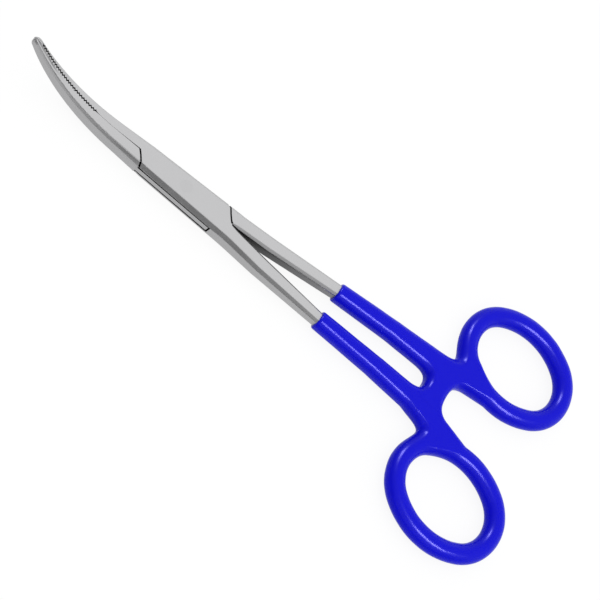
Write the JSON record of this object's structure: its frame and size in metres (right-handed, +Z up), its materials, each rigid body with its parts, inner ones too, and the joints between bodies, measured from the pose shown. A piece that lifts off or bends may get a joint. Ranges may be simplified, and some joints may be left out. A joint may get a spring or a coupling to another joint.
{
  "type": "hemostatic forceps",
  "caption": "Curved-jaw hemostatic forceps with box lock, cross-serrated jaw tips, ratchet arms and soft plastic-coated shanks and finger rings.",
  "frame": {"origin": "on the lock pin's axis, at the underside of the box lock, with the forceps lying flat and closed", "axes": "+X from the pin to the jaw tips, +Z up out of the lock's upper face and the way the jaws curve, +Y to the female half's finger ring"},
  "size_m": [0.1614, 0.0694, 0.0144],
  "materials": {
    "satin_steel": "satin",
    "pin_steel": "satin",
    "dip_coat": "soft gloss"
  },
  "bodies": {
    "female_body": {"female_half": "satin_steel", "lock_pin": "pin_steel", "female_grip": "dip_coat"},
    "male_body": {"male_half": "satin_steel", "male_grip": "dip_coat"}
  },
  "joints": [
    {"name": "box_lock", "type": "hinge", "parent": "female_body", "child": "male_body", "pos_m": [0, 0, 0.0025], "axis": [0, 0, 1], "range_deg": [0, 50]}
  ]
}
